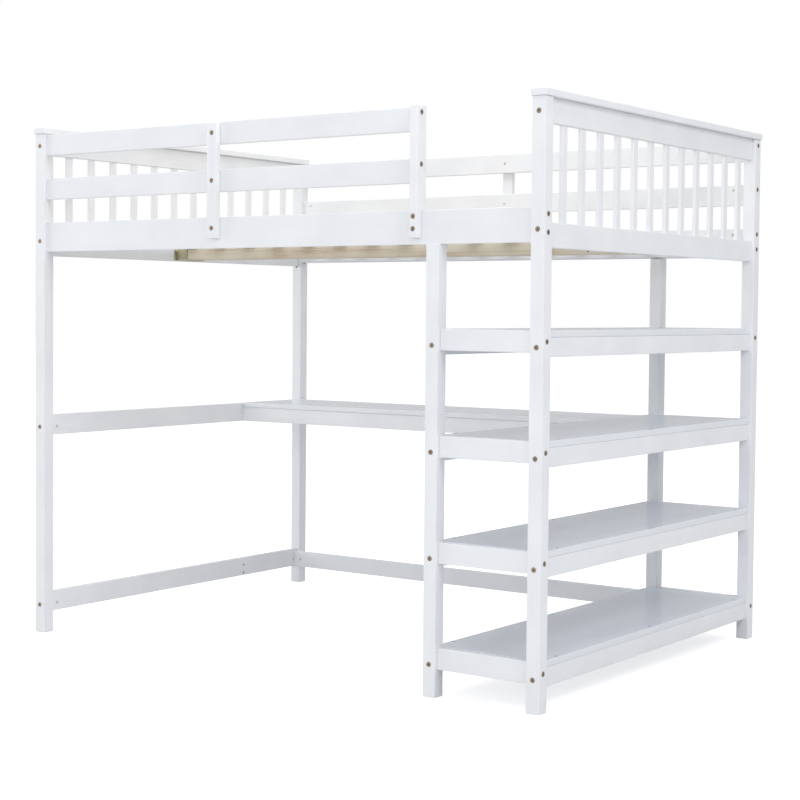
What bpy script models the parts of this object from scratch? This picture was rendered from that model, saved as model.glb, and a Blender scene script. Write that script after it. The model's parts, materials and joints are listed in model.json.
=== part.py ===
"""Loft bed with a desk and an open shelf unit that doubles as its ladder.

Every piece is a separate solid, in metres with +Z up.
The layout is written with x measured from the outer face of the left posts and
y from the front face of the front posts; `place` moves it so that the origin is
the middle of the footprint at floor level.
X runs along the bed from the desk end to the shelf end, and Y from front to back.
"""
import math

import bmesh
import bpy

# Overall sizes.
LENGTH = 2.011
WIDTH = 1.442
HEIGHT = 1.727

# Timber sections.
POST = 0.043
BOARD = 0.020
EDGE_ROUND = 0.002

# Fit between two pieces that touch.
FIT = 0.0001

# Caps on the two ends.
CAP_THICK = 0.020
CAP_OVERHANG = 0.004

# End panels: two cross rails with a row of upright slats between them.
HEAD_UPPER_HEIGHT = 0.071
HEAD_LOWER_DROP = 0.014
HEAD_LOWER_HEIGHT = 0.070
HEAD_SLAT_COUNT = 12
HEAD_SLAT_WIDTH = 0.028
HEAD_SLAT_THICK = 0.011
HEAD_SLAT_TENON = 0.008
HEAD_SLAT_ROUND = 0.0015

# Long rails that carry the bed, with a ledge strip for the slats.
BED_RAIL_HEIGHT = 0.098
LEDGE_DEPTH = 0.020
LEDGE_HEIGHT = 0.028
LEDGE_LIFT = 0.003

# Guard boards and their uprights.
GUARD_TOP_DROP = 0.004
GUARD_HEIGHT = 0.070
GUARD_GAP = 0.079
BRACE_WIDTH = 0.040
BRACE_FOOT_LIFT = 0.031
BRACE_TOP_DROP = 0.003
ENTRY_WIDTH = 0.372
ENTRY_POST_WIDTH = 0.026
ENTRY_POST_DEPTH = 0.048
ENTRY_POST_FOOT_LIFT = 0.018
ENTRY_POST_RISE = 0.002

# Bed base.
BEAM_WIDTH = 0.090
BEAM_HEIGHT = 0.040
BED_SLAT_COUNT = 14
BED_SLAT_END_GAP = 0.0405
BED_SLAT_WIDTH = 0.060
BED_SLAT_THICK = 0.015
BRACKET_SHEET = 0.0025
BRACKET_REACH = 0.052
BRACKET_FLANGE = 0.016

# Shelf unit.
SHELF_UNIT_WIDTH = 0.391
LEVEL_COUNT = 4
TOP_LEVEL_DROP = 0.2425
SHELF_THICK = 0.0195
SHELF_RAIL_HEIGHT = 0.055
TREAD_HEIGHT = 0.062

# Desk, set just under one of the shelf levels, and the low rails.
DESK_LEVEL = 3
DESK_DROP = 0.0055
DESK_THICK = 0.0175
DESK_DEPTH = 0.349
DESK_CORNER_RADIUS = 0.012
APRON_HEIGHT = 0.055
APRON_SETBACK = 0.004
END_RAIL_HEIGHT = 0.070
LOW_RAIL_BOTTOM = 0.0685
STRETCHER_HEIGHT = 0.062

# Derived positions, worked down from the top of the posts.
RAIL_INSET = (POST - BOARD) / 2
RAIL_INNER = RAIL_INSET + BOARD
POST_TOP = HEIGHT - CAP_THICK
GUARD_TOP = POST_TOP - GUARD_TOP_DROP
GUARD_UPPER_BOTTOM = GUARD_TOP - GUARD_HEIGHT
GUARD_LOWER_BOTTOM = GUARD_UPPER_BOTTOM - GUARD_GAP - GUARD_HEIGHT
BED_RAIL_TOP = GUARD_LOWER_BOTTOM - GUARD_GAP
BED_RAIL_BOTTOM = BED_RAIL_TOP - BED_RAIL_HEIGHT
HEAD_LOWER_BOTTOM = BED_RAIL_BOTTOM - HEAD_LOWER_DROP
BRACE_BOTTOM = BED_RAIL_BOTTOM + BRACE_FOOT_LIFT
BRACE_TOP = GUARD_TOP - BRACE_TOP_DROP
BRACE_REACH = BOARD - RAIL_INSET
ENTRY_POST_LEFT = LENGTH - POST - ENTRY_WIDTH - ENTRY_POST_WIDTH
ENTRY_POST_BOTTOM = BED_RAIL_BOTTOM + ENTRY_POST_FOOT_LIFT
ENTRY_POST_TOP = GUARD_TOP + ENTRY_POST_RISE
ENTRY_POST_FRONT = RAIL_INNER - ENTRY_POST_DEPTH
LEDGE_TOP = BED_RAIL_BOTTOM + LEDGE_LIFT + LEDGE_HEIGHT
BEAM_BOTTOM = LEDGE_TOP - BEAM_HEIGHT
SHELF_UNIT_LEFT = LENGTH - SHELF_UNIT_WIDTH
FIRST_LEVEL_TOP = LOW_RAIL_BOTTOM + SHELF_RAIL_HEIGHT + FIT + SHELF_THICK
TOP_LEVEL = BED_RAIL_BOTTOM - TOP_LEVEL_DROP
LEVEL_STEP = (TOP_LEVEL - FIRST_LEVEL_TOP) / (LEVEL_COUNT - 1)
DESK_TOP = FIRST_LEVEL_TOP + LEVEL_STEP * (DESK_LEVEL - 1) - DESK_DROP
APRON_TOP = DESK_TOP - DESK_THICK - FIT
APRON_BOTTOM = APRON_TOP - APRON_HEIGHT
MIDDLE_X = LENGTH / 2
MIDDLE_Y = WIDTH / 2
SHIFT_X = LENGTH / 2
SHIFT_Y = (ENTRY_POST_FRONT + WIDTH + BRACE_REACH) / 2


def clear_scene():
    for old in list(bpy.data.objects):
        bpy.data.objects.remove(old, do_unlink=True)
    for old in list(bpy.data.meshes):
        bpy.data.meshes.remove(old)
    for old in list(bpy.data.materials):
        bpy.data.materials.remove(old)


def finish_material(name, colour, roughness, metallic=0.0):
    """A material of its own for one piece."""
    material = bpy.data.materials.new(name + "_finish")
    material.use_nodes = True
    shader = material.node_tree.nodes["Principled BSDF"]
    shader.inputs["Base Color"].default_value = (*colour, 1.0)
    shader.inputs["Roughness"].default_value = roughness
    shader.inputs["Metallic"].default_value = metallic
    material.diffuse_color = (*colour, 1.0)
    return material


PAINT = ((0.80, 0.81, 0.83), 0.42, 0.0)
PANEL_PAINT = ((0.78, 0.79, 0.82), 0.22, 0.0)
PINE = ((0.62, 0.43, 0.24), 0.60, 0.0)
ZINC = ((0.62, 0.52, 0.26), 0.35, 1.0)


def place(point):
    return (point[0] - SHIFT_X, point[1] - SHIFT_Y, point[2])


def new_object(name, mesh, finish):
    obj = bpy.data.objects.new(name, mesh)
    bpy.context.scene.collection.objects.link(obj)
    mesh.materials.append(finish_material(name, *finish))
    return obj


def outward_edges(solid):
    """The sharp edges that stick out, so that an inner corner stays square."""
    return [edge for edge in solid.edges if edge.is_convex and edge.calc_face_angle() > 0.6]


def prism(name, outline, along, start, end, finish=PAINT, rounding=EDGE_ROUND, steps=2):
    """A straight piece: an outline swept along one axis, with its outer edges eased.

    The outline is a list of pairs in the two other axes, in X, Y, Z order.
    """
    solid = bmesh.new()
    rings = []
    for depth in (start, end):
        ring = []
        for first, second in outline:
            coords = [first, second]
            coords.insert(along, depth)
            ring.append(solid.verts.new(place(coords)))
        rings.append(ring)
    count = len(outline)
    solid.faces.new(rings[0])
    solid.faces.new(list(reversed(rings[1])))
    for index in range(count):
        after = (index + 1) % count
        solid.faces.new((rings[0][index], rings[1][index], rings[1][after], rings[0][after]))
    bmesh.ops.recalc_face_normals(solid, faces=solid.faces[:])
    solid.normal_update()
    if rounding > 0:
        bmesh.ops.bevel(
            solid,
            geom=outward_edges(solid),
            offset=rounding,
            offset_type="OFFSET",
            segments=steps,
            profile=0.5,
            affect="EDGES",
            clamp_overlap=True,
        )
    mesh = bpy.data.meshes.new(name)
    solid.to_mesh(mesh)
    solid.free()
    return new_object(name, mesh, finish)


def block(name, x_range, y_range, z_range, finish=PAINT, rounding=EDGE_ROUND, steps=2):
    """A squared board or post given by its extent along each axis."""
    x0, x1 = x_range
    y0, y1 = y_range
    outline = [(x0, y0), (x1, y0), (x1, y1), (x0, y1)]
    return prism(name, outline, 2, z_range[0], z_range[1], finish, rounding, steps)


def weld(target, helpers):
    """Joins helper solids to the target for good, as one glued piece."""
    for index, helper in enumerate(helpers):
        union = target.modifiers.new("glue_%d" % index, "BOOLEAN")
        union.operation = "UNION"
        union.solver = "EXACT"
        union.object = helper
    bpy.context.view_layer.update()
    graph = bpy.context.evaluated_depsgraph_get()
    joined = bpy.data.meshes.new_from_object(target.evaluated_get(graph))
    joined.name = target.name + "_mesh"
    target.modifiers.clear()
    material = target.data.materials[0]
    target.data = joined
    joined.materials.clear()
    joined.materials.append(material)
    for polygon in joined.polygons:
        polygon.material_index = 0
    for helper in helpers:
        spare = helper.data.materials[0]
        bpy.data.objects.remove(helper, do_unlink=True)
        bpy.data.materials.remove(spare)


def mirrored(low, high, total):
    """The same range measured from the far side."""
    return (total - high, total - low)


def build_posts():
    left = (0.0, POST)
    right = mirrored(0.0, POST, LENGTH)
    inner = (SHELF_UNIT_LEFT, SHELF_UNIT_LEFT + POST)
    front = (0.0, POST)
    back = mirrored(0.0, POST, WIDTH)
    full = (0.0, POST_TOP - FIT)
    short = (0.0, BED_RAIL_BOTTOM - FIT)
    block("post_front_left", left, front, full)
    block("post_back_left", left, back, full)
    block("post_front_right", right, front, full)
    block("post_back_right", right, back, full)
    block("post_front_inner", inner, front, short)
    block("post_back_inner", inner, back, short)


def build_caps():
    across = (-CAP_OVERHANG, WIDTH + CAP_OVERHANG)
    tall = (POST_TOP, HEIGHT)
    left = (-CAP_OVERHANG, POST + CAP_OVERHANG)
    block("cap_left", left, across, tall)
    block("cap_right", mirrored(*left, LENGTH), across, tall)


def build_end_panel(name, centre_x):
    """Upper rail, lower rail and the slats glued between them."""
    thick = (centre_x - BOARD / 2, centre_x + BOARD / 2)
    across = (POST + FIT, WIDTH - POST - FIT)
    upper = (POST_TOP - HEAD_UPPER_HEIGHT, POST_TOP - FIT)
    lower = (HEAD_LOWER_BOTTOM, HEAD_LOWER_BOTTOM + HEAD_LOWER_HEIGHT)
    panel = block(name, thick, across, lower)
    helpers = [block(name + "_upper", thick, across, upper)]
    pitch = (WIDTH - 2 * POST + HEAD_SLAT_WIDTH) / (HEAD_SLAT_COUNT + 1)
    first = POST - HEAD_SLAT_WIDTH / 2 + pitch
    slat_x = (centre_x - HEAD_SLAT_THICK / 2, centre_x + HEAD_SLAT_THICK / 2)
    slat_z = (lower[1] - HEAD_SLAT_TENON, upper[0] + HEAD_SLAT_TENON)
    for index in range(HEAD_SLAT_COUNT):
        middle = first + pitch * index
        slat_y = (middle - HEAD_SLAT_WIDTH / 2, middle + HEAD_SLAT_WIDTH / 2)
        slat = block("%s_slat_%d" % (name, index), slat_x, slat_y, slat_z, PAINT, HEAD_SLAT_ROUND, 1)
        helpers.append(slat)
    weld(panel, helpers)


def build_bed_rails():
    """Each long rail is an L: the board with its ledge strip glued along the inside."""
    along = (POST + FIT, LENGTH - POST - FIT)
    ledge_low = LEDGE_TOP - LEDGE_HEIGHT
    front = [
        (RAIL_INSET, BED_RAIL_BOTTOM),
        (RAIL_INNER, BED_RAIL_BOTTOM),
        (RAIL_INNER, ledge_low),
        (RAIL_INNER + LEDGE_DEPTH, ledge_low),
        (RAIL_INNER + LEDGE_DEPTH, LEDGE_TOP),
        (RAIL_INNER, LEDGE_TOP),
        (RAIL_INNER, BED_RAIL_TOP),
        (RAIL_INSET, BED_RAIL_TOP),
    ]
    back = [(WIDTH - y, z) for y, z in front]
    prism("side_rail_front", front, 0, *along)
    prism("side_rail_back", back, 0, *along)


def build_guards():
    front = (RAIL_INSET, RAIL_INNER)
    back = mirrored(*front, WIDTH)
    lower = (GUARD_LOWER_BOTTOM, GUARD_LOWER_BOTTOM + GUARD_HEIGHT)
    upper = (GUARD_UPPER_BOTTOM, GUARD_UPPER_BOTTOM + GUARD_HEIGHT)
    short = (POST + FIT, ENTRY_POST_LEFT - FIT)
    full = (POST + FIT, LENGTH - POST - FIT)
    block("guard_front_upper", short, front, upper)
    block("guard_front_lower", short, front, lower)
    block("guard_back_upper", full, back, upper)
    block("guard_back_lower", full, back, lower)
    tall = (BRACE_BOTTOM, BRACE_TOP)
    brace_y = (RAIL_INSET - BOARD, RAIL_INSET - FIT)
    front_middle = (POST + ENTRY_POST_LEFT) / 2
    brace_x = (front_middle - BRACE_WIDTH / 2, front_middle + BRACE_WIDTH / 2)
    block("guard_brace_front", brace_x, brace_y, tall)
    brace_x = (MIDDLE_X - BRACE_WIDTH / 2, MIDDLE_X + BRACE_WIDTH / 2)
    block("guard_brace_back", brace_x, mirrored(*brace_y, WIDTH), tall)


def build_entry_post():
    """The upright at the way in, notched at the back to lap over the side rail."""
    face = ENTRY_POST_FRONT
    notch = BED_RAIL_TOP + FIT
    outline = [
        (face, ENTRY_POST_BOTTOM),
        (RAIL_INSET - FIT, ENTRY_POST_BOTTOM),
        (RAIL_INSET - FIT, notch),
        (RAIL_INNER, notch),
        (RAIL_INNER, ENTRY_POST_TOP),
        (face, ENTRY_POST_TOP),
    ]
    prism("entry_post", outline, 0, ENTRY_POST_LEFT, ENTRY_POST_LEFT + ENTRY_POST_WIDTH)


def build_shelf_unit():
    front_y = (RAIL_INSET, RAIL_INNER)
    back_y = mirrored(*front_y, WIDTH)
    span_x = (SHELF_UNIT_LEFT + POST + FIT, LENGTH - POST - FIT)
    span_y = (POST + FIT, WIDTH - POST - FIT)
    left_x = (SHELF_UNIT_LEFT + RAIL_INSET, SHELF_UNIT_LEFT + RAIL_INNER)
    right_x = (LENGTH - RAIL_INNER, LENGTH - RAIL_INSET)
    for level in range(LEVEL_COUNT):
        number = level + 1
        top = FIRST_LEVEL_TOP + LEVEL_STEP * level
        rail_top = top - SHELF_THICK - FIT
        rail_z = (rail_top - SHELF_RAIL_HEIGHT, rail_top)
        tread_z = (top - TREAD_HEIGHT, top)
        block("ladder_tread_%d" % number, span_x, front_y, tread_z)
        block("shelf_rail_left_%d" % number, left_x, span_y, rail_z)
        block("shelf_rail_right_%d" % number, right_x, span_y, rail_z)
        panel_x = (left_x[0], right_x[1])
        block("shelf_%d" % number, panel_x, span_y, (top - SHELF_THICK, top), PANEL_PAINT)
        if level in (0, LEVEL_COUNT - 1):
            block("shelf_rail_back_%d" % number, span_x, back_y, tread_z)


def build_desk():
    left = RAIL_INNER + FIT
    right = SHELF_UNIT_LEFT + RAIL_INSET - FIT
    back = WIDTH - POST - FIT
    front = back - DESK_DEPTH
    radius = DESK_CORNER_RADIUS
    outline = [(right, front), (right, back), (left, back)]
    for step in range(7):
        turn = math.pi + step * math.pi / 12
        x = left + radius + radius * math.cos(turn)
        y = front + radius + radius * math.sin(turn)
        outline.append((x, y))
    top = prism("desk_top", outline, 2, DESK_TOP - DESK_THICK, DESK_TOP, PANEL_PAINT)
    for polygon in top.data.polygons:
        polygon.use_smooth = True
    top.data.set_sharp_from_angle(angle=math.radians(20))
    apron_z = (APRON_BOTTOM, APRON_TOP)
    front_y = (front + APRON_SETBACK, front + APRON_SETBACK + BOARD)
    back_y = (back - BOARD - APRON_SETBACK, back - APRON_SETBACK)
    block("desk_apron_front", (left, right), front_y, apron_z)
    block("desk_apron_back", (left, right), back_y, apron_z)


def build_low_rails():
    across = (POST + FIT, WIDTH - POST - FIT)
    thick = (RAIL_INSET, RAIL_INNER)
    middle = (APRON_BOTTOM, APRON_BOTTOM + END_RAIL_HEIGHT)
    low = (LOW_RAIL_BOTTOM, LOW_RAIL_BOTTOM + END_RAIL_HEIGHT)
    block("end_rail_middle", thick, across, middle)
    block("end_rail_low", thick, across, low)
    along = (RAIL_INNER + FIT, SHELF_UNIT_LEFT + RAIL_INSET - FIT)
    depth = (WIDTH - POST - FIT - BOARD, WIDTH - POST - FIT)
    tall = (LOW_RAIL_BOTTOM, LOW_RAIL_BOTTOM + STRETCHER_HEIGHT)
    block("back_stretcher", along, depth, tall)


def build_bracket(name, face_x, direction):
    """A folded sheet-metal saddle: back plate, floor and two cheeks round the beam end."""
    sheet = BRACKET_SHEET
    inner = BEAM_WIDTH / 2 + FIT
    outer = inner + sheet
    low = BEAM_BOTTOM - FIT - sheet
    high = BEAM_BOTTOM + BEAM_HEIGHT - 0.003
    outline = [
        (MIDDLE_Y - outer, low),
        (MIDDLE_Y + outer, low),
        (MIDDLE_Y + outer, high),
        (MIDDLE_Y + inner, high),
        (MIDDLE_Y + inner, low + sheet),
        (MIDDLE_Y - inner, low + sheet),
        (MIDDLE_Y - inner, high),
        (MIDDLE_Y - outer, high),
    ]
    plate = [face_x, face_x + direction * sheet]
    reach = face_x + direction * BRACKET_REACH
    trough_x = sorted((face_x + direction * sheet * 0.4, reach))
    saddle = prism(name, outline, 0, trough_x[0], trough_x[1], ZINC, 0)
    wide = (MIDDLE_Y - outer - BRACKET_FLANGE, MIDDLE_Y + outer + BRACKET_FLANGE)
    back_plate = block(name + "_plate", sorted(plate), wide, (low, high), ZINC, 0)
    weld(saddle, [back_plate])


def build_bed_base():
    left_face = RAIL_INNER + FIT
    right_face = LENGTH - RAIL_INNER - FIT
    build_bracket("beam_bracket_left", left_face, 1)
    build_bracket("beam_bracket_right", right_face, -1)
    beam_x = (left_face + BRACKET_SHEET + FIT, right_face - BRACKET_SHEET - FIT)
    beam_y = (MIDDLE_Y - BEAM_WIDTH / 2, MIDDLE_Y + BEAM_WIDTH / 2)
    beam_z = (BEAM_BOTTOM, BEAM_BOTTOM + BEAM_HEIGHT)
    block("centre_beam", beam_x, beam_y, beam_z, PINE)
    slat_y = (RAIL_INNER + 2 * FIT, WIDTH - RAIL_INNER - 2 * FIT)
    slat_z = (LEDGE_TOP + FIT, LEDGE_TOP + FIT + BED_SLAT_THICK)
    first = RAIL_INNER + BED_SLAT_END_GAP + BED_SLAT_WIDTH / 2
    pitch = (LENGTH - 2 * first) / (BED_SLAT_COUNT - 1)
    for index in range(BED_SLAT_COUNT):
        middle = first + pitch * index
        slat_x = (middle - BED_SLAT_WIDTH / 2, middle + BED_SLAT_WIDTH / 2)
        block("bed_slat_%02d" % (index + 1), slat_x, slat_y, slat_z, PINE, EDGE_ROUND, 1)


clear_scene()
build_posts()
build_caps()
build_end_panel("end_panel_left", POST / 2)
build_end_panel("end_panel_right", LENGTH - POST / 2)
build_bed_rails()
build_guards()
build_entry_post()
build_shelf_unit()
build_desk()
build_low_rails()
build_bed_base()
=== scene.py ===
"""Looks of the loft bed with desk: sprayed paint, bare pine, plated brackets, bolts, nuts and screws.

Metres, +Z up, with the origin in the middle of the footprint at floor level.
The bed runs along X, the ladder side faces -Y and the wall side faces +Y.
"""
import json
import math

import bmesh
import bpy
from mathutils import Matrix, Quaternion, Vector


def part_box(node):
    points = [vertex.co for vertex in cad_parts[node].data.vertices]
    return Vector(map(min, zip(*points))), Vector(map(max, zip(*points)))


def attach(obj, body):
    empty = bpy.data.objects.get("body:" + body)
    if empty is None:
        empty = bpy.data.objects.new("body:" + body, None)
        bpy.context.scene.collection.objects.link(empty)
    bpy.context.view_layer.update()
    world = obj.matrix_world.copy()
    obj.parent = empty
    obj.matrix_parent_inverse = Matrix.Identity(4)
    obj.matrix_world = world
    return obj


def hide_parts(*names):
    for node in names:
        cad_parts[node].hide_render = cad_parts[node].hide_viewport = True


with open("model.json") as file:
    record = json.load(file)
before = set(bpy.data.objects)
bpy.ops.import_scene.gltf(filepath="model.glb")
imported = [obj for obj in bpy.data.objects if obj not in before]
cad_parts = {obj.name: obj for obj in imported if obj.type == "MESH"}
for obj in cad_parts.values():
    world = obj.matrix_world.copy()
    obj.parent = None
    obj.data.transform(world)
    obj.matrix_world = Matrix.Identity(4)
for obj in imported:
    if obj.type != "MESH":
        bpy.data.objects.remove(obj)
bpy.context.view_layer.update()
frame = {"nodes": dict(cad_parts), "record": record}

# Ironmongery sizes.
BOLT_HEAD = 0.0150
BOLT_HEAD_PROUD = 0.0009
BOLT_HEAD_DEPTH = 0.0034
BOLT_SOCKET = 0.0042
BOLT_SOCKET_DEPTH = 0.0007
NUT_WIDTH = 0.0100
NUT_PROUD = 0.0003
SCREW_HEAD = 0.0078
SCREW_PROUD = 0.0003
COUNTERBORE = 0.0162
COUNTERBORE_DEPTH = 0.0012
SADDLE_SHEET = 0.0025

FRONT = Vector((0, -1, 0))
BACK = Vector((0, 1, 0))
LEFT = Vector((-1, 0, 0))
RIGHT = Vector((1, 0, 0))
UP = Vector((0, 0, 1))

NEUTRAL = (1.0, 1.0, 1.0)
LEVELS = (1, 2, 3, 4)


# ---------------------------------------------------------------- camera, floor and light


def set_camera():
    """A long lens at desk-standing height, off the ladder corner."""
    lens = bpy.data.cameras.new("studio_camera")
    lens.sensor_width = 36.0
    lens.lens = 76.757
    lens.shift_x = 0.01464
    lens.shift_y = -0.02593
    lens.clip_end = 200.0
    camera = bpy.data.objects.new("studio_camera", lens)
    bpy.context.scene.collection.objects.link(camera)
    turn = Matrix.Rotation(math.radians(35.68), 4, "Z")
    tilt = Matrix.Rotation(math.radians(90.0 - 2.3), 4, "X")
    roll = Matrix.Rotation(math.radians(0.47), 4, "Z")
    stand = Matrix.Translation((3.38724, -4.75943, 1.11527))
    camera.matrix_world = stand @ turn @ tilt @ roll
    bpy.context.scene.camera = camera


def softbox(name, place, aim, width, height, power, colour):
    """A square soft light at a place, turned to face a point."""
    lamp = bpy.data.lights.new(name, "AREA")
    lamp.shape = "RECTANGLE"
    lamp.size = width
    lamp.size_y = height
    lamp.energy = power
    lamp.color = colour
    holder = bpy.data.objects.new(name, lamp)
    bpy.context.scene.collection.objects.link(holder)
    facing = (Vector(aim) - Vector(place)).to_track_quat("-Z", "Y")
    holder.matrix_world = Matrix.Translation(place) @ facing.to_matrix().to_4x4()
    return holder


def light_studio():
    """An even white room, with soft boxes overhead, at the ladder side and at both ends."""
    world = bpy.data.worlds.new("white_studio")
    bpy.context.scene.world = world
    world.use_nodes = True
    tree = world.node_tree
    room = tree.nodes["Background"]
    room.inputs["Color"].default_value = (0.985, 0.992, 1.0, 1.0)
    room.inputs["Strength"].default_value = 0.60
    # The far wall of the room shows as plain white, brighter than the light that it gives.
    wall = add(tree, "ShaderNodeBackground", {"Color": (1.0, 1.0, 1.0, 1.0), "Strength": 1.0})
    path = add(tree, "ShaderNodeLightPath")
    blend = add(
        tree,
        "ShaderNodeMixShader",
        None,
        {0: path.outputs["Is Camera Ray"], 1: room.outputs["Background"], 2: wall.outputs["Background"]},
    )
    tree.links.new(blend.outputs["Shader"], tree.nodes["World Output"].inputs["Surface"])
    heart = (0.0, 0.0, 0.9)
    softbox("overhead_softbox", (0.0, 0.0, 5.2), (0.0, 0.0, 0.0), 4.5, 4.5, 130.0, NEUTRAL)
    softbox("ladder_side_softbox", (-1.5, -7.0, 2.6), heart, 4.0, 3.0, 31.0, NEUTRAL)
    softbox("corner_softbox", (4.5, -6.5, 2.8), heart, 3.0, 3.0, 86.0, NEUTRAL)
    softbox("shelf_end_softbox", (5.0, -2.0, 5.0), (0.0, 0.0, 1.3), 2.5, 2.5, 99.0, NEUTRAL)
    softbox("desk_end_softbox", (-7.0, -3.0, 2.4), heart, 3.0, 3.0, 120.0, NEUTRAL)
    view = bpy.context.scene.view_settings
    view.view_transform = "Standard"
    view.look = "None"
    view.exposure = 0.0
    view.gamma = 1.0


# ---------------------------------------------------------------- finishes


def tint(code):
    """An sRGB hex colour as linear RGBA."""
    channels = [int(code[at : at + 2], 16) / 255 for at in (0, 2, 4)]
    linear = [c / 12.92 if c <= 0.04045 else ((c + 0.055) / 1.055) ** 2.4 for c in channels]
    return (*linear, 1.0)


def add(tree, kind, values=None, links=None, **settings):
    """Adds one node with its settings, its socket values and its links."""
    made = tree.nodes.new(kind)
    for key, value in settings.items():
        setattr(made, key, value)
    for socket, value in (values or {}).items():
        made.inputs[socket].default_value = value
    for socket, source in (links or {}).items():
        tree.links.new(source, made.inputs[socket])
    return made


def new_finish(name):
    """A material with only its shader and output, ready for a pattern."""
    finish = bpy.data.materials.new(name)
    finish.use_nodes = True
    tree = finish.node_tree
    shader = tree.nodes["Principled BSDF"]
    return finish, tree, shader


def set_ramp(ramp, stops):
    """Gives a colour ramp its stops as (position, colour)."""
    band = ramp.color_ramp
    while len(band.elements) > 1:
        band.elements.remove(band.elements[-1])
    band.elements[0].position = stops[0][0]
    band.elements[0].color = stops[0][1]
    for position, colour in stops[1:]:
        band.elements.new(position).color = colour


def grain_scale(run, across, along):
    """Pattern cycles per metre on each axis, for wood that runs along X, Y or Z."""
    scale = [across, across, across]
    scale["XYZ".index(run)] = along
    return tuple(scale)


def sprayed_pine(run):
    """White satin lacquer sprayed on planed pine: the eye gets a soft even sheen, with the grain
    just showing through as long shallow ridges and a fine orange peel from the spray gun."""
    finish, tree, shader = new_finish("sprayed_pine_" + run.lower())
    place = add(tree, "ShaderNodeTexCoord")
    # Ring lines of slab-sawn pine are about 4 mm apart across the board and run some 160 mm along it.
    grain_place = add(
        tree,
        "ShaderNodeMapping",
        {"Scale": grain_scale(run, 250.0, 6.0)},
        {"Vector": place.outputs["Object"]},
    )
    grain = add(
        tree,
        "ShaderNodeTexNoise",
        {"Scale": 1.0, "Detail": 4.0, "Roughness": 0.6, "Distortion": 0.3},
        {"Vector": grain_place.outputs["Vector"]},
    )
    # Orange peel: bumps about 1.5 mm across.
    peel = add(
        tree,
        "ShaderNodeTexNoise",
        {"Scale": 650.0, "Detail": 1.0},
        {"Vector": place.outputs["Object"]},
    )
    # Slight changes of coat thickness over a hand's width.
    cloud = add(
        tree,
        "ShaderNodeTexNoise",
        {"Scale": 7.0, "Detail": 2.0},
        {"Vector": place.outputs["Object"]},
    )
    colour = add(tree, "ShaderNodeValToRGB", None, {"Fac": cloud.outputs["Fac"]})
    set_ramp(colour, [(0.30, tint("E6E8EC")), (0.70, tint("ECEEF1"))])
    line = add(
        tree,
        "ShaderNodeMapRange",
        {"From Min": 0.35, "From Max": 0.75, "To Min": 1.0, "To Max": 0.975},
        {"Value": grain.outputs["Fac"]},
    )
    toned = add(
        tree,
        "ShaderNodeVectorMath",
        None,
        {0: colour.outputs["Color"], 1: line.outputs["Result"]},
        operation="MULTIPLY",
    )
    tree.links.new(toned.outputs["Vector"], shader.inputs["Base Color"])
    gloss = add(
        tree,
        "ShaderNodeMapRange",
        {"From Min": 0.3, "From Max": 0.7, "To Min": 0.36, "To Max": 0.46},
        {"Value": grain.outputs["Fac"]},
    )
    tree.links.new(gloss.outputs["Result"], shader.inputs["Roughness"])
    ridge = add(
        tree,
        "ShaderNodeBump",
        {"Strength": 0.35, "Distance": 0.00022},
        {"Height": grain.outputs["Fac"]},
    )
    skin = add(
        tree,
        "ShaderNodeBump",
        {"Strength": 0.25, "Distance": 0.00006},
        {"Height": peel.outputs["Fac"], "Normal": ridge.outputs["Normal"]},
    )
    tree.links.new(skin.outputs["Normal"], shader.inputs["Normal"])
    shader.inputs["IOR"].default_value = 1.5
    return finish


def foil_faced_board():
    """White wood-fibre board: a hard glossy foil on the faces that look up and down, in which posts show as
    soft streaks, with painted shade making those faces darker and cooler than the edges, and satin paint
    along the sawn edges, as white as the rails."""
    finish, tree, shader = new_finish("foil_faced_board")
    place = add(tree, "ShaderNodeTexCoord")
    aim = add(tree, "ShaderNodeSeparateXYZ", None, {"Vector": place.outputs["Normal"]})
    upright = add(tree, "ShaderNodeMath", None, {0: aim.outputs["Z"]}, operation="ABSOLUTE")
    broad = add(
        tree,
        "ShaderNodeMapRange",
        {"From Min": 0.85, "From Max": 0.98, "To Min": 0.0, "To Max": 1.0},
        {"Value": upright.outputs["Value"]},
    )
    cloud = add(
        tree,
        "ShaderNodeTexNoise",
        {"Scale": 4.0, "Detail": 2.0},
        {"Vector": place.outputs["Object"]},
    )
    # Painted shade: the faces that look up and down get a darker, cooler white than the edges, for the shade
    # they lie in.
    foil_painted_shade = add(tree, "ShaderNodeValToRGB", None, {"Fac": cloud.outputs["Fac"]})
    set_ramp(foil_painted_shade, [(0.30, tint("D0D5DF")), (0.70, tint("D5DAE3"))])
    edge = add(tree, "ShaderNodeValToRGB", None, {"Fac": cloud.outputs["Fac"]})
    set_ramp(edge, [(0.30, tint("E0E4E9")), (0.70, tint("E5E8ED"))])
    colour = add(tree, "ShaderNodeMix", None, {0: broad.outputs["Result"]}, data_type="RGBA")
    tree.links.new(edge.outputs["Color"], colour.inputs[6])
    tree.links.new(foil_painted_shade.outputs["Color"], colour.inputs[7])
    tree.links.new(colour.outputs[2], shader.inputs["Base Color"])
    gloss = add(
        tree,
        "ShaderNodeMapRange",
        {"From Min": 0.0, "From Max": 1.0, "To Min": 0.40, "To Max": 0.13},
        {"Value": broad.outputs["Result"]},
    )
    tree.links.new(gloss.outputs["Result"], shader.inputs["Roughness"])
    # The pressed surface of the board shows through as waves about 15 mm across.
    press = add(
        tree,
        "ShaderNodeTexNoise",
        {"Scale": 65.0, "Detail": 1.0},
        {"Vector": place.outputs["Object"]},
    )
    skin = add(
        tree,
        "ShaderNodeBump",
        {"Strength": 0.15, "Distance": 0.00008},
        {"Height": press.outputs["Fac"]},
    )
    tree.links.new(skin.outputs["Normal"], shader.inputs["Normal"])
    shader.inputs["IOR"].default_value = 1.5
    return finish


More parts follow.
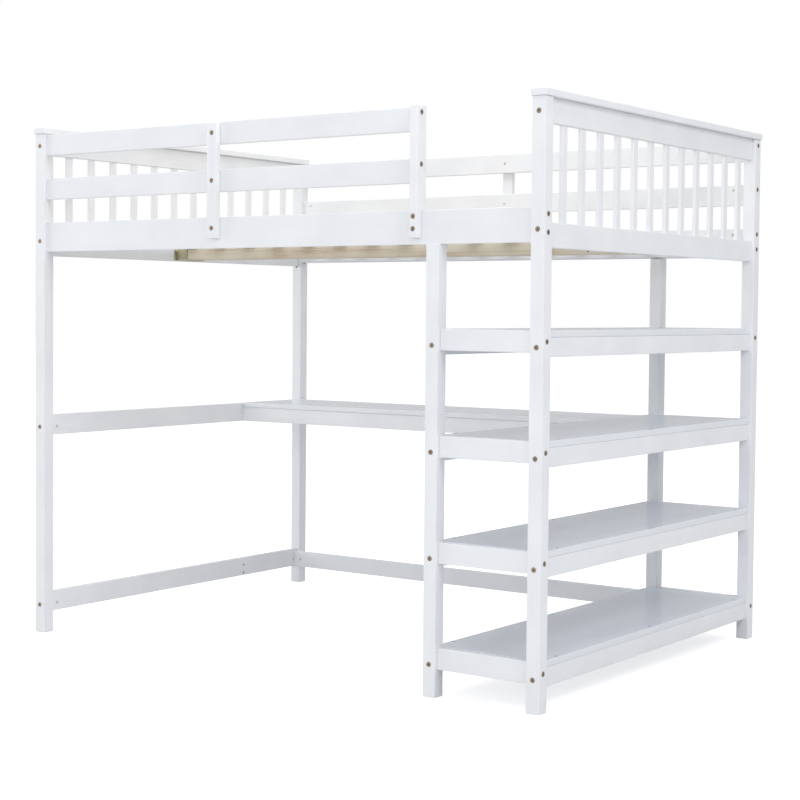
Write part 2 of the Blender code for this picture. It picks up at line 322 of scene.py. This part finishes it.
def bare_pine(run):
    """Planed pine with no finish: cream early wood, thin honey late-wood lines along the board,
    a few brown knots, and a dull dry surface."""
    finish, tree, shader = new_finish("bare_pine_" + run.lower())
    place = add(tree, "ShaderNodeTexCoord")
    # Late-wood lines are about 5 mm apart and wander over a length of 300 mm or so.
    ring_place = add(
        tree,
        "ShaderNodeMapping",
        {"Scale": grain_scale(run, 45.0, 1.6), "Location": (0.31, 0.17, 0.05)},
        {"Vector": place.outputs["Object"]},
    )
    wander = add(
        tree,
        "ShaderNodeTexNoise",
        {"Scale": 0.8, "Detail": 3.0, "Distortion": 0.4},
        {"Vector": ring_place.outputs["Vector"]},
    )
    rings = add(
        tree,
        "ShaderNodeMath",
        {1: 9.0},
        {0: wander.outputs["Fac"]},
        operation="MULTIPLY",
    )
    wave = add(
        tree,
        "ShaderNodeMath",
        {1: 1.0},
        {0: rings.outputs["Value"]},
        operation="PINGPONG",
    )
    # Fibres: pores and planer lines well under a millimetre wide.
    fibre_place = add(
        tree,
        "ShaderNodeMapping",
        {"Scale": grain_scale(run, 900.0, 18.0)},
        {"Vector": place.outputs["Object"]},
    )
    fibre = add(
        tree,
        "ShaderNodeTexNoise",
        {"Scale": 1.0, "Detail": 3.0},
        {"Vector": fibre_place.outputs["Vector"]},
    )
    # Knots: one every 300 mm or so, about 12 mm across.
    knot_place = add(
        tree,
        "ShaderNodeMapping",
        {"Scale": grain_scale(run, 9.0, 3.4), "Location": (0.2, 0.6, 0.4)},
        {"Vector": place.outputs["Object"]},
    )
    knot = add(
        tree,
        "ShaderNodeTexVoronoi",
        {"Scale": 1.0, "Randomness": 1.0},
        {"Vector": knot_place.outputs["Vector"]},
    )
    knot_mask = add(
        tree,
        "ShaderNodeMapRange",
        {"From Min": 0.05, "From Max": 0.13, "To Min": 1.0, "To Max": 0.0},
        {"Value": knot.outputs["Distance"]},
        interpolation_type="SMOOTHSTEP",
    )
    wood = add(tree, "ShaderNodeValToRGB", None, {"Fac": wave.outputs["Value"]})
    set_ramp(
        wood,
        [(0.0, tint("CDBDA3")), (0.16, tint("D9CCB6")), (0.55, tint("DED5C2")), (1.0, tint("E3DBCA"))],
    )
    fleck = add(
        tree,
        "ShaderNodeMapRange",
        {"From Min": 0.3, "From Max": 0.7, "To Min": 0.93, "To Max": 1.03},
        {"Value": fibre.outputs["Fac"]},
    )
    toned = add(
        tree,
        "ShaderNodeVectorMath",
        None,
        {0: wood.outputs["Color"], 1: fleck.outputs["Result"]},
        operation="MULTIPLY",
    )
    knotted = add(
        tree,
        "ShaderNodeMix",
        None,
        {0: knot_mask.outputs["Result"]},
        data_type="RGBA",
    )
    knotted.inputs[7].default_value = tint("8A5E38")
    tree.links.new(toned.outputs["Vector"], knotted.inputs[6])
    tree.links.new(knotted.outputs[2], shader.inputs["Base Color"])
    ridge = add(
        tree,
        "ShaderNodeBump",
        {"Strength": 0.4, "Distance": 0.00015},
        {"Height": fibre.outputs["Fac"]},
    )
    tree.links.new(ridge.outputs["Normal"], shader.inputs["Normal"])
    shader.inputs["Roughness"].default_value = 0.62
    shader.inputs["IOR"].default_value = 1.45
    return finish


def plated_metal(name, dark, light, rough, grit):
    """Electroplated steel: a metal skin with cloudy patches of colour and a fine tumbled texture."""
    finish, tree, shader = new_finish(name)
    place = add(tree, "ShaderNodeTexCoord")
    patch = add(
        tree,
        "ShaderNodeTexNoise",
        {"Scale": grit, "Detail": 3.0},
        {"Vector": place.outputs["Object"]},
    )
    colour = add(tree, "ShaderNodeValToRGB", None, {"Fac": patch.outputs["Fac"]})
    set_ramp(colour, [(0.32, tint(dark)), (0.68, tint(light))])
    tree.links.new(colour.outputs["Color"], shader.inputs["Base Color"])
    gloss = add(
        tree,
        "ShaderNodeMapRange",
        {"From Min": 0.3, "From Max": 0.7, "To Min": rough - 0.06, "To Max": rough + 0.06},
        {"Value": patch.outputs["Fac"]},
    )
    tree.links.new(gloss.outputs["Result"], shader.inputs["Roughness"])
    tumbled = add(
        tree,
        "ShaderNodeTexNoise",
        {"Scale": 2500.0, "Detail": 1.0},
        {"Vector": place.outputs["Object"]},
    )
    skin = add(
        tree,
        "ShaderNodeBump",
        {"Strength": 0.2, "Distance": 0.00003},
        {"Height": tumbled.outputs["Fac"]},
    )
    tree.links.new(skin.outputs["Normal"], shader.inputs["Normal"])
    shader.inputs["Metallic"].default_value = 1.0
    return finish


def socket_shade():
    """Painted shade for the bottom of a key socket and the foot of a bolt head's rim: dull, dark steel, a
    little gritty.
    """
    finish, tree, shader = new_finish("painted_socket_shade")
    place = add(tree, "ShaderNodeTexCoord")
    shade_mottle = add(
        tree,
        "ShaderNodeTexNoise",
        {"Scale": 900.0, "Detail": 1.0},
        {"Vector": place.outputs["Object"]},
    )
    colour = add(tree, "ShaderNodeValToRGB", None, {"Fac": shade_mottle.outputs["Fac"]})
    set_ramp(colour, [(0.35, tint("2A2622")), (0.65, tint("453F37"))])
    tree.links.new(colour.outputs["Color"], shader.inputs["Base Color"])
    shader.inputs["Roughness"].default_value = 0.6
    return finish


def studio_floor_finish():
    """Matt pale grey paper sweep: no sheen, with the faintest mottling."""
    finish, tree, shader = new_finish("paper_sweep")
    place = add(tree, "ShaderNodeTexCoord")
    mottle = add(
        tree,
        "ShaderNodeTexNoise",
        {"Scale": 1.5, "Detail": 2.0},
        {"Vector": place.outputs["Object"]},
    )
    colour = add(tree, "ShaderNodeValToRGB", None, {"Fac": mottle.outputs["Fac"]})
    set_ramp(colour, [(0.3, tint("DCDCDD")), (0.7, tint("E0E0E1"))])
    tree.links.new(colour.outputs["Color"], shader.inputs["Base Color"])
    shader.inputs["Roughness"].default_value = 0.95
    shader.inputs["Specular IOR Level"].default_value = 0.1
    # The sweep is printed as white as the wall behind it, without throwing more light on the bed.
    path = add(tree, "ShaderNodeLightPath")
    tree.links.new(path.outputs["Is Camera Ray"], shader.inputs["Emission Strength"])
    shader.inputs["Emission Color"].default_value = tint("D4D4D4")
    return finish


# ---------------------------------------------------------------- modelling by hand


def deselect():
    bpy.ops.object.select_all(action="DESELECT")


def activate(piece):
    deselect()
    piece.select_set(True)
    bpy.context.view_layer.objects.active = piece


def choose(piece, kind, test):
    """In edit mode, selects the faces, edges or verts that pass a test, and nothing else."""
    solid = bmesh.from_edit_mesh(piece.data)
    for part in (*solid.verts, *solid.edges, *solid.faces):
        part.select = False
    for part in getattr(solid, kind):
        if test(part):
            part.select_set(True)
    solid.select_flush_mode()
    bmesh.update_edit_mesh(piece.data)


def edit(piece, mode):
    activate(piece)
    bpy.ops.object.mode_set(mode="EDIT")
    bpy.ops.mesh.select_mode(type=mode)


def leave():
    bpy.ops.object.mode_set(mode="OBJECT")


def cut_away(piece, cutter):
    """Takes a cutter's shape out of a piece for good."""
    activate(piece)
    cut = piece.modifiers.new("cut", "BOOLEAN")
    cut.operation = "DIFFERENCE"
    cut.solver = "EXACT"
    cut.object = cutter
    bpy.ops.object.modifier_apply(modifier=cut.name)
    bpy.data.objects.remove(cutter, do_unlink=True)


def smooth(piece, degrees):
    activate(piece)
    bpy.ops.object.shade_smooth_by_angle(angle=math.radians(degrees))


def model_bolt(metal):
    """A furniture connector bolt: a thin flat head with an eased rim and a six-sided socket."""
    deselect()
    bpy.ops.mesh.primitive_cylinder_add(
        vertices=32,
        radius=BOLT_HEAD / 2,
        depth=BOLT_HEAD_DEPTH,
        location=(0, 0, BOLT_HEAD_PROUD - BOLT_HEAD_DEPTH / 2),
    )
    bolt = bpy.context.active_object
    bpy.ops.object.transform_apply(location=True, rotation=True, scale=True)
    edit(bolt, "EDGE")
    choose(bolt, "edges", lambda e: min(v.co.z for v in e.verts) > BOLT_HEAD_PROUD - 0.0001)
    bpy.ops.mesh.bevel(offset=0.0008, segments=3, affect="EDGES")
    bpy.ops.mesh.select_mode(type="FACE")
    choose(bolt, "faces", lambda f: f.normal.z > 0.9 and f.calc_area() > 0.00003)
    bpy.ops.mesh.inset(thickness=0.0030)
    bpy.ops.transform.translate(value=(0, 0, -0.00012))
    leave()
    deselect()
    bpy.ops.mesh.primitive_cylinder_add(
        vertices=6,
        radius=BOLT_SOCKET / math.sqrt(3),
        depth=BOLT_SOCKET_DEPTH * 2,
        location=(0, 0, BOLT_HEAD_PROUD),
    )
    key = bpy.context.active_object
    cut_away(bolt, key)
    smooth(bolt, 35)
    bolt.data.materials.clear()
    bolt.data.materials.append(metal)
    bolt.data.materials.append(socket_shade())
    # Painted shade: the socket and the foot of the rim, where the head meets the paint, take the dark
    # material to stand for the shadow in the recess and in the gap round the head.
    deep = BOLT_HEAD_PROUD - 0.0003
    for face in bolt.data.polygons:
        reach = math.hypot(face.center.x, face.center.y)
        in_socket = reach < BOLT_SOCKET * 0.6 and face.center.z < deep
        at_foot = reach > BOLT_HEAD * 0.47 and face.center.z < BOLT_HEAD_PROUD - 0.0002
        face.material_index = 1 if in_socket or at_foot else 0
    return bolt


def model_nut():
    """A cross-dowel nut seen end on: a round bar end with a screwdriver slot."""
    deselect()
    bpy.ops.mesh.primitive_cylinder_add(
        vertices=28,
        radius=NUT_WIDTH / 2,
        depth=0.004,
        location=(0, 0, NUT_PROUD - 0.002),
    )
    nut = bpy.context.active_object
    bpy.ops.object.transform_apply(location=True, rotation=True, scale=True)
    edit(nut, "EDGE")
    choose(nut, "edges", lambda e: min(v.co.z for v in e.verts) > NUT_PROUD - 0.0001)
    bpy.ops.mesh.bevel(offset=0.0005, segments=2, affect="EDGES")
    leave()
    deselect()
    bpy.ops.mesh.primitive_cube_add(size=1.0, location=(0, 0, NUT_PROUD))
    blade = bpy.context.active_object
    blade.scale = (NUT_WIDTH * 1.4, 0.0015, 0.0022)
    bpy.ops.object.transform_apply(location=True, rotation=True, scale=True)
    cut_away(nut, blade)
    smooth(nut, 35)
    return nut


def model_screw():
    """A countersunk wood screw: a flat head with a cross recess."""
    deselect()
    bpy.ops.mesh.primitive_cone_add(
        vertices=28,
        radius1=SCREW_HEAD * 0.28,
        radius2=SCREW_HEAD / 2,
        depth=0.0032,
        location=(0, 0, SCREW_PROUD - 0.0016),
    )
    screw = bpy.context.active_object
    bpy.ops.object.transform_apply(location=True, rotation=True, scale=True)
    edit(screw, "EDGE")
    choose(screw, "edges", lambda e: min(v.co.z for v in e.verts) > SCREW_PROUD - 0.0001)
    bpy.ops.mesh.bevel(offset=0.0003, segments=2, affect="EDGES")
    leave()
    for turn in (0.0, math.pi / 2):
        deselect()
        bpy.ops.mesh.primitive_cube_add(size=1.0, location=(0, 0, SCREW_PROUD), rotation=(0, 0, turn))
        blade = bpy.context.active_object
        blade.scale = (SCREW_HEAD * 0.56, 0.0011, 0.0026)
        bpy.ops.object.transform_apply(location=True, rotation=True, scale=True)
        edit(blade, "FACE")
        choose(blade, "faces", lambda f: f.normal.z < -0.9)
        bpy.ops.transform.resize(value=(0.45, 0.45, 1.0))
        leave()
        cut_away(screw, blade)
    smooth(screw, 35)
    return screw


placed = {"bolt": 0, "nut": 0, "screw": 0}


def fasten(master, kind, place, outward, metal=None):
    """Sets one copy of a bolt, nut or screw into a face, turned a little further each time."""
    placed[kind] += 1
    activate(master)
    bpy.ops.object.duplicate(linked=False)
    copy = bpy.context.active_object
    copy.name = "%s_%03d" % (kind, placed[kind])
    copy.data.name = copy.name
    facing = outward.to_track_quat("Z", "Y")
    spin = Quaternion((0, 0, 1), placed[kind] * 2.4)
    copy.rotation_mode = "QUATERNION"
    copy.rotation_quaternion = facing @ spin
    copy.location = place
    bpy.ops.object.transform_apply(location=True, rotation=True, scale=True)
    copy.rotation_mode = "XYZ"
    if metal:
        copy.data.materials.clear()
        copy.data.materials.append(metal)
    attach(copy, "root")
    return copy


# ---------------------------------------------------------------- reworked pieces


def squared_timber(name, low, high):
    """A straight squared timber between two corners, before its edges are eased."""
    deselect()
    bpy.ops.mesh.primitive_cube_add(size=1.0, location=(low + high) / 2)
    timber = bpy.context.active_object
    timber.name = name
    timber.data.name = name
    timber.scale = high - low
    bpy.ops.object.transform_apply(location=True, rotation=True, scale=True)
    return timber


def ease_edges(timber, radius):
    """Rounds every sharp outer edge, as a router does."""
    edit(timber, "EDGE")
    choose(timber, "edges", lambda e: e.is_convex and e.calc_face_angle(0.0) > 0.6)
    bpy.ops.mesh.bevel(offset=radius, segments=3, affect="EDGES")
    leave()


def bore(timber, place, outward, width, depth):
    """Drills a flat-bottomed round recess square to a face."""
    deselect()
    bpy.ops.mesh.primitive_cylinder_add(vertices=32, radius=width / 2, depth=depth * 2, location=place)
    drill = bpy.context.active_object
    drill.rotation_mode = "QUATERNION"
    drill.rotation_quaternion = outward.to_track_quat("Z", "Y")
    bpy.ops.object.transform_apply(location=True, rotation=True, scale=True)
    cut_away(timber, drill)


def model_upright(name, node, holes, finish, lap=None):
    """An upright with counterbored bolt holes, and a rebate where it laps over a rail."""
    low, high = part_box(node)
    upright = squared_timber(name, low, high)
    if lap:
        cut_away(upright, squared_timber("rebate", *lap))
    ease_edges(upright, 0.0022)
    for place, outward in holes:
        bore(upright, place, outward, COUNTERBORE, COUNTERBORE_DEPTH)
    smooth(upright, 32)
    upright.data.materials.clear()
    upright.data.materials.append(finish)
    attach(upright, "root")
    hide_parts(node)
    return upright


def pull_edge(sheet, test, way):
    """Extrudes the edges of an open sheet that pass a test."""
    choose(sheet, "edges", test)
    bpy.ops.mesh.extrude_edges_move(TRANSFORM_OT_translate={"value": way})


def finish_with(piece, name, kind, **settings):
    """Adds one modifier with its settings and applies it."""
    activate(piece)
    step = piece.modifiers.new(name, kind)
    for key, value in settings.items():
        setattr(step, key, value)
    bpy.ops.object.modifier_apply(modifier=step.name)


def face_outwards(piece):
    """Turns an open folded sheet so that its floor looks down."""
    edit(piece, "FACE")
    bpy.ops.mesh.select_all(action="SELECT")
    bpy.ops.mesh.normals_make_consistent(inside=False)
    leave()
    base = min(piece.data.polygons, key=lambda flat: flat.center.z)
    if base.normal.z > 0:
        edit(piece, "FACE")
        bpy.ops.mesh.select_all(action="SELECT")
        bpy.ops.mesh.flip_normals()
        leave()


def model_saddle(name, node, inward, metal):
    """A beam saddle folded from one strip of sheet: floor, two cheeks and two screw flanges."""
    low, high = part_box(node)
    beam_low, beam_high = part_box("centre_beam")
    face = low.x if inward > 0 else high.x
    mouth = high.x if inward > 0 else low.x
    floor_z = beam_low.z - 0.0001
    middle_y = (beam_low.y + beam_high.y) / 2
    half = (beam_high.y - beam_low.y) / 2 + 0.0001
    deselect()
    bpy.ops.mesh.primitive_plane_add(size=1.0, location=((face + mouth) / 2, middle_y, floor_z))
    saddle = bpy.context.active_object
    saddle.name = name
    saddle.data.name = name
    saddle.scale = (abs(mouth - face), half * 2, 1.0)
    bpy.ops.object.transform_apply(location=True, rotation=True, scale=True)
    for side in (-1, 1):
        line = middle_y + side * half

        def floor_edge(edge):
            return all(abs(v.co.y - line) < 1e-5 and abs(v.co.z - floor_z) < 1e-5 for v in edge.verts)

        def back_edge(edge):
            first, second = edge.verts
            upright = abs(first.co.z - second.co.z) > 0.01
            at_back = all(abs(v.co.y - line) < 1e-5 and abs(v.co.x - face) < 1e-5 for v in edge.verts)
            return upright and at_back

        edit(saddle, "EDGE")
        pull_edge(saddle, floor_edge, (0, 0, high.z - floor_z))
        pull_edge(saddle, back_edge, (0, side * (high.y - middle_y - half), 0))
        leave()
    face_outwards(saddle)
    finish_with(saddle, "fold", "BEVEL", width=0.0024, segments=4, limit_method="ANGLE")
    finish_with(saddle, "gauge", "SOLIDIFY", thickness=SADDLE_SHEET, offset=1.0, use_even_offset=True)
    finish_with(
        saddle,
        "burr",
        "BEVEL",
        width=0.0004,
        segments=2,
        limit_method="ANGLE",
        angle_limit=math.radians(50),
    )
    away = Vector((inward, 0, 0))
    holes = []
    for side in (-1, 1):
        for share in (0.28, 0.72):
            height = floor_z + (high.z - floor_z) * share
            across = middle_y + side * (half + SADDLE_SHEET + 0.0078)
            holes.append(Vector((face + inward * SADDLE_SHEET, across, height)))
    for place in holes:
        bore(saddle, place - away * 0.0013, away, 0.0052, 0.004)
    smooth(saddle, 35)
    saddle.data.materials.clear()
    saddle.data.materials.append(metal)
    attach(saddle, "root")
    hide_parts(node)
    return [(place, away) for place in holes]


# ---------------------------------------------------------------- where the fixings go


def middle(node, axis):
    low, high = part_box(node)
    return (low[axis] + high[axis]) / 2


def on_face(node, outward, across, height):
    """A point on an upright face of a node; across is the other level coordinate, or None for its middle."""
    low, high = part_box(node)
    axis = 0 if abs(outward.x) > 0.5 else 1
    other = 1 - axis
    point = Vector((0, 0, height))
    point[axis] = high[axis] if outward[axis] > 0 else low[axis]
    point[other] = (low[other] + high[other]) / 2 if across is None else across
    return point


def bolted_joints():
    """Every bolted joint, as (post, way the head faces, board, way the nut faces, height)."""
    joints = []
    for side, inner in (("left", RIGHT), ("right", LEFT)):
        panel = "end_panel_" + side
        panel_low, panel_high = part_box(panel)
        rows = [(panel, panel_high.z - 0.041), (panel, panel_low.z + 0.0495)]
        if side == "left":
            rows.append(("end_rail_middle", middle("end_rail_middle", 2) - 0.006))
            rows.append(("end_rail_low", middle("end_rail_low", 2) - 0.008))
        else:
            rows += [("shelf_rail_right_%d" % n, middle("shelf_rail_right_%d" % n, 2)) for n in LEVELS]
        for board, height in rows:
            joints.append(("post_front_" + side, FRONT, board, inner, height))
            joints.append(("post_back_" + side, BACK, board, inner, height))
    for n in LEVELS:
        board = "shelf_rail_left_%d" % n
        joints.append(("post_front_inner", FRONT, board, RIGHT, middle(board, 2)))
        joints.append(("post_back_inner", BACK, board, RIGHT, middle(board, 2)))
        tread = "ladder_tread_%d" % n
        joints.append(("post_front_right", RIGHT, tread, BACK, middle(tread, 2)))
        joints.append(("post_front_inner", LEFT, tread, BACK, middle(tread, 2)))
    for n in (1, 4):
        board = "shelf_rail_back_%d" % n
        joints.append(("post_back_right", RIGHT, board, FRONT, middle(board, 2)))
        joints.append(("post_back_inner", LEFT, board, FRONT, middle(board, 2)))
    for end, outward in (("left", LEFT), ("right", RIGHT)):
        for side, inner in (("front", BACK), ("back", FRONT)):
            rail = "side_rail_" + side
            rail_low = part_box(rail)[0].z
            post = "post_%s_%s" % (side, end)
            joints.append((post, outward, rail, inner, rail_low + 0.078))
            joints.append((post, outward, rail, None, rail_low + 0.027))
            for level in ("upper", "lower"):
                board = "guard_%s_%s" % (side, level)
                if (side, end) == ("front", "right"):
                    post = "entry_post"
                joints.append((post, outward, board, inner, middle(board, 2) + 0.018))
    return joints


def nut_place(board, head_way, nut_way, height):
    """Where the cross-dowel nut of a joint shows on the inner face of its board."""
    low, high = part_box(board)
    axis = 0 if abs(head_way.x) > 0.5 else 1
    end = high[axis] if head_way[axis] > 0 else low[axis]
    inset = 0.040 if axis == 0 else 0.028
    point = on_face(board, nut_way, end - head_way[axis] * inset, height)
    if board.startswith("side_rail"):
        # The nut sits on the board itself, above the ledge strip.
        point.y = rail_face(board.rsplit("_", 1)[1], nut_way)
    return point


def rail_face(side, nut_way):
    """How far back the bare inner face of a side rail is, above its ledge strip."""
    low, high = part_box("side_rail_" + side)
    return low.y + 0.020 if nut_way.y > 0 else high.y - 0.020


def join_frame(bolt, nut, zinc):
    """Bolts and nuts of every bolted joint; gives back the holes of the way-in upright."""
    entry_holes = []
    for post, head_way, board, nut_way, height in bolted_joints():
        place = on_face(post, head_way, None, height)
        if post == "entry_post":
            entry_holes.append((place, head_way))
        else:
            fasten(bolt, "bolt", place, head_way)
        if nut_way:
            fasten(nut, "nut", nut_place(board, head_way, nut_way, height), nut_way, zinc)
    return entry_holes


def join_entry(holes, paint):
    """The way-in upright, which laps over the front rail."""
    rail_low, rail_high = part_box("side_rail_front")
    for lift in (0.080, 0.044):
        holes.append((on_face("entry_post", FRONT, None, rail_low.z + lift), FRONT))
    low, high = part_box("entry_post")
    lap_low = Vector((low.x - 0.01, rail_low.y - 0.0001, low.z - 0.01))
    lap_high = Vector((high.x + 0.01, high.y + 0.01, rail_high.z + 0.0001))
    model_upright("entry_upright", "entry_post", holes, paint["Z"], (lap_low, lap_high))


def join_braces(nut, zinc, paint):
    """The braces cross the guard boards and the rail, with a bolt through each."""
    sunk_holes = []
    for side, head_way, nut_way in (("front", FRONT, BACK), ("back", BACK, FRONT)):
        node = "guard_brace_" + side
        rail = "side_rail_" + side
        holes = []
        for crossed in ("guard_%s_upper" % side, "guard_%s_lower" % side, rail):
            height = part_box(rail)[0].z + 0.063 if crossed == rail else middle(crossed, 2)
            holes.append((on_face(node, head_way, None, height), head_way))
            back = on_face(crossed, nut_way, middle(node, 0), height)
            if crossed == rail:
                back.y = rail_face(side, nut_way)
            fasten(nut, "nut", back, nut_way, zinc)
        model_upright("guard_upright_" + side, node, holes, paint["Z"])
        sunk_holes += holes
    return sunk_holes


def join_stretcher(bolt, nut, zinc):
    """The long back stretcher is bolted through the low end rail."""
    height = middle("back_stretcher", 2)
    fasten(bolt, "bolt", on_face("end_rail_low", LEFT, middle("back_stretcher", 1), height), LEFT)
    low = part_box("back_stretcher")[0]
    fasten(nut, "nut", Vector((low.x + 0.034, low.y, height)), FRONT, zinc)


def screw_boards(screw, phosphate):
    """Countersunk screws down through the shelf panels and the bed slats."""
    for n in LEVELS:
        low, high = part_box("shelf_%d" % n)
        for rail in ("left", "right"):
            x = middle("shelf_rail_%s_%d" % (rail, n), 0)
            for y in (low.y + 0.085, (low.y + high.y) / 2 - 0.016, high.y - 0.072):
                fasten(screw, "screw", Vector((x, y, high.z)), UP, phosphate)
    for n in range(1, 15):
        low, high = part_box("bed_slat_%02d" % n)
        for y in (low.y + 0.010, high.y - 0.010):
            fasten(screw, "screw", Vector(((low.x + high.x) / 2, y, high.z)), UP, phosphate)


def screw_corners(screw, phosphate):
    """Short screws in the low end rail, the back corner post and the beam."""
    apron = middle("desk_apron_front", 1)
    for lift in (0.0415, 0.0105):
        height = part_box("end_rail_low")[0].z + lift
        fasten(screw, "screw", on_face("end_rail_low", RIGHT, apron, height), RIGHT, phosphate)
    low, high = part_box("post_back_left")
    bed_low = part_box("side_rail_back")[0].z
    fasten(screw, "screw", Vector((low.x + 0.020, low.y, bed_low - 0.017)), FRONT, phosphate)
    fasten(screw, "screw", Vector((high.x, low.y + 0.023, bed_low - 0.001)), RIGHT, phosphate)
    beam_low, beam_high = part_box("centre_beam")
    fasten(screw, "screw", Vector((beam_high.x - 0.205, beam_low.y, beam_low.z + 0.010)), FRONT, phosphate)


def set_fixings(bronze, zinc, phosphate, paint):
    """Every bolt, nut and screw, and the pieces that are reworked round them."""
    bolt = model_bolt(bronze)
    nut = model_nut()
    screw = model_screw()
    sunk_holes = join_frame(bolt, nut, zinc)
    join_entry(sunk_holes, paint)
    sunk_holes += join_braces(nut, zinc, paint)
    for place, head_way in sunk_holes:
        fasten(bolt, "bolt", place - head_way * (COUNTERBORE_DEPTH - 0.0001), head_way)
    join_stretcher(bolt, nut, zinc)
    screw_boards(screw, phosphate)
    screw_corners(screw, phosphate)
    for side, inward in (("left", 1), ("right", -1)):
        for place, outward in model_saddle("saddle_" + side, "beam_bracket_" + side, inward, zinc):
            fasten(screw, "screw", place, outward, zinc)
    for master in (bolt, nut, screw):
        bpy.data.objects.remove(master, do_unlink=True)


# ---------------------------------------------------------------- the model


def paint_frame(paint, zinc):
    """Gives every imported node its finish, with the grain along the board."""
    slots = {row["node"]: row["material_slot"] for row in frame["record"]["subparts"]}
    pine = {run: bare_pine(run) for run in "XY"}
    board = foil_faced_board()
    for name, node in frame["nodes"].items():
        low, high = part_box(name)
        size = high - low
        run = "XYZ"[max(range(3), key=lambda axis: size[axis])]
        finish = {
            "painted_wood": paint[run],
            "painted_panel": board,
            "pine": pine.get(run),
            "zinc_steel": zinc,
        }[slots[name]]
        node.data.materials.clear()
        node.data.materials.append(finish)


def lay_floor():
    deselect()
    bpy.ops.mesh.primitive_circle_add(vertices=96, radius=40.0, fill_type="NGON", location=(0, 0, -0.0005))
    floor = bpy.context.active_object
    floor.name = "studio_floor"
    floor.data.materials.append(studio_floor_finish())


deselect()
set_camera()
light_studio()
paint = {run: sprayed_pine(run) for run in "XYZ"}
zinc = plated_metal("yellow_zinc_plate", "B3AD90", "CFCBB5", 0.42, 60.0)
bronze = plated_metal("antique_bronze_plate", "8C7C68", "B7A58E", 0.50, 180.0)
phosphate = plated_metal("phosphated_steel", "45423C", "6B665C", 0.58, 240.0)
paint_frame(paint, zinc)
set_fixings(bronze, zinc, phosphate, paint)
lay_floor()
